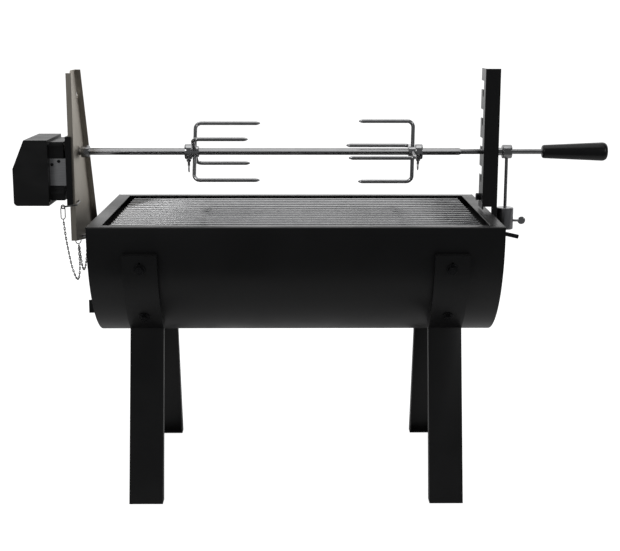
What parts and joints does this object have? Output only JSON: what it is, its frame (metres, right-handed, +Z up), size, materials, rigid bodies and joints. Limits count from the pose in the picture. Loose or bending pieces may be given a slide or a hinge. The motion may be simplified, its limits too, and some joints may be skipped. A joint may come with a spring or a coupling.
{
  "type": "charcoal spit roaster",
  "caption": "Open half-barrel charcoal roaster on folded legs, with a motor-driven square spit, sliding forks, a balance weight and lift-out grates.",
  "frame": {"origin": "on the ground, under the middle of the roaster's overall box", "axes": "+Z up, +X along the barrel towards the spit's handle, -Y towards the user"},
  "size_m": [0.9114, 0.3754, 0.636],
  "materials": {
    "stainless": "brushed stainless",
    "black_paint": "satin black heat-resistant paint",
    "black_bolt": "black zinc",
    "chrome_wire": "bright chrome plate",
    "coal_wire": "dull black",
    "chrome": "bright chrome plate",
    "weight_steel": "turned steel",
    "handle_plastic": "smooth black plastic",
    "case_plastic": "fine-grained black plastic",
    "zinc": "zinc plated",
    "pin_black": "black",
    "chain_steel": "plated steel",
    "gear_nylon": "moulded nylon",
    "brass": "turned brass",
    "cell_jacket": "plain printed jacket"
  },
  "bodies": {
    "frame": {"barrel_shell": "black_paint", "left_end_panel": "black_paint", "right_end_panel": "black_paint", "front_left_leg": "black_paint", "front_right_leg": "black_paint", "rear_left_leg": "black_paint", "rear_right_leg": "black_paint", "leg_bolts": "black_bolt", "leg_nuts": "black_bolt", "left_grate_rail": "black_paint", "right_grate_rail": "black_paint", "left_coal_rail": "black_paint", "right_coal_rail": "black_paint", "left_upright": "stainless", "right_upright": "black_paint", "left_upright_bracket": "black_paint", "right_upright_bracket": "black_paint", "upright_bolt": "black_bolt", "anchor_screw": "stainless", "anchor_ring": "stainless", "motor_plate": "black_paint", "motor_strap": "zinc", "motor_screws": "zinc", "motor_case": "case_plastic", "motor_cover": "case_plastic", "case_screws": "black_bolt", "motor_can": "zinc", "idler_pin": "zinc", "drive_bushes": "brass", "battery": "cell_jacket", "battery_contacts": "zinc", "switch_block": "case_plastic", "vent_guides": "black_paint", "hook_chain": "chain_steel", "pin_chain": "chain_steel"},
    "cooking_grate": {"cooking_grate": "chrome_wire"},
    "charcoal_grate": {"charcoal_grate": "coal_wire"},
    "vent_slider": {"vent_slider": "black_paint"},
    "left_lock_pin": {"left_lock_pin": "zinc"},
    "right_lock_pin": {"right_lock_pin": "pin_black"},
    "motor_hook": {"motor_hook": "stainless", "hook_ring": "stainless"},
    "motor_pinion": {"motor_pinion": "brass"},
    "idler_gear": {"idler_gear": "gear_nylon"},
    "drive": {"drive_socket": "gear_nylon"},
    "battery_door": {"battery_door": "case_plastic"},
    "switch_slider": {"switch_slider": "case_plastic"},
    "spit": {"spit_rod": "chrome", "rod_collar": "chrome", "spit_handle": "handle_plastic", "balance_collar": "chrome", "balance_arm": "chrome"},
    "left_fork": {"left_fork": "chrome"},
    "left_fork_screw": {"left_fork_screw": "chrome"},
    "right_fork": {"right_fork": "chrome"},
    "right_fork_screw": {"right_fork_screw": "chrome"},
    "balance_weight": {"balance_weight": "weight_steel"},
    "weight_screw": {"weight_screw": "chrome"}
  },
  "joints": [
    {"name": "drive_turn", "type": "hinge", "parent": "frame", "child": "drive", "pos_m": [-0.39675, 0, 0.5085], "axis": [1, 0, 0], "continuous": true},
    {"name": "idler_turn", "type": "hinge", "parent": "frame", "child": "idler_gear", "pos_m": [-0.41475, 0.01533, 0.49695], "axis": [1, 0, 0], "continuous": true},
    {"name": "pinion_turn", "type": "hinge", "parent": "frame", "child": "motor_pinion", "pos_m": [-0.41675, 0.03359, 0.50288], "axis": [1, 0, 0], "continuous": true},
    {"name": "spit_withdraw", "type": "slide", "parent": "drive", "child": "spit", "axis": [1, 0, 0], "range_m": [0, 0.026]},
    {"name": "left_fork_slide", "type": "slide", "parent": "spit", "child": "left_fork", "axis": [1, 0, 0], "range_m": [-0.1, 0.05]},
    {"name": "left_fork_screw_turn", "type": "hinge", "parent": "left_fork", "child": "left_fork_screw", "pos_m": [-0.19305, 0, 0.5085], "axis": [0, 0.1392, -0.9903], "range_deg": [0, 360]},
    {"name": "right_fork_slide", "type": "slide", "parent": "spit", "child": "right_fork", "axis": [1, 0, 0], "range_m": [-0.05, 0.05]},
    {"name": "right_fork_screw_turn", "type": "hinge", "parent": "right_fork", "child": "right_fork_screw", "pos_m": [0.16345, 0, 0.5085], "axis": [0, 0.4384, -0.8988], "range_deg": [0, 360]},
    {"name": "weight_slide", "type": "slide", "parent": "spit", "child": "balance_weight", "axis": [0, 0, 1], "range_m": [0, 0.06]},
    {"name": "weight_screw_turn", "type": "hinge", "parent": "balance_weight", "child": "weight_screw", "pos_m": [0.32325, 0, 0.4005], "axis": [1, 0, 0], "range_deg": [0, 360]},
    {"name": "cooking_grate_lift", "type": "slide", "parent": "frame", "child": "cooking_grate", "axis": [0, 0, 1], "range_m": [0, 0.035]},
    {"name": "charcoal_grate_lift", "type": "slide", "parent": "frame", "child": "charcoal_grate", "axis": [0, 0, 1], "range_m": [0, 0.08]},
    {"name": "vent_slide", "type": "slide", "parent": "frame", "child": "vent_slider", "axis": [0, 1, 0], "range_m": [0, 0.0075]},
    {"name": "left_pin_pull", "type": "slide", "parent": "frame", "child": "left_lock_pin", "axis": [-1, 0, 0], "range_m": [0, 0.05]},
    {"name": "right_pin_pull", "type": "slide", "parent": "frame", "child": "right_lock_pin", "axis": [1, 0, 0], "range_m": [0, 0.022]},
    {"name": "motor_hook_pull", "type": "slide", "parent": "frame", "child": "motor_hook", "axis": [1, 0, 0], "range_m": [0, 0.008]},
    {"name": "battery_door_hinge", "type": "hinge", "parent": "frame", "child": "battery_door", "pos_m": [-0.42575, 0.0606, 0.4346], "axis": [-1, 0, 0], "range_deg": [0, 100]},
    {"name": "switch_slide", "type": "slide", "parent": "frame", "child": "switch_slider", "axis": [0, 1, 0], "range_m": [0, 0.005]}
  ],
  "couplings": [
    {"joint": "idler_turn", "follows": "drive_turn", "ratio": -3},
    {"joint": "pinion_turn", "follows": "drive_turn", "ratio": 9}
  ]
}
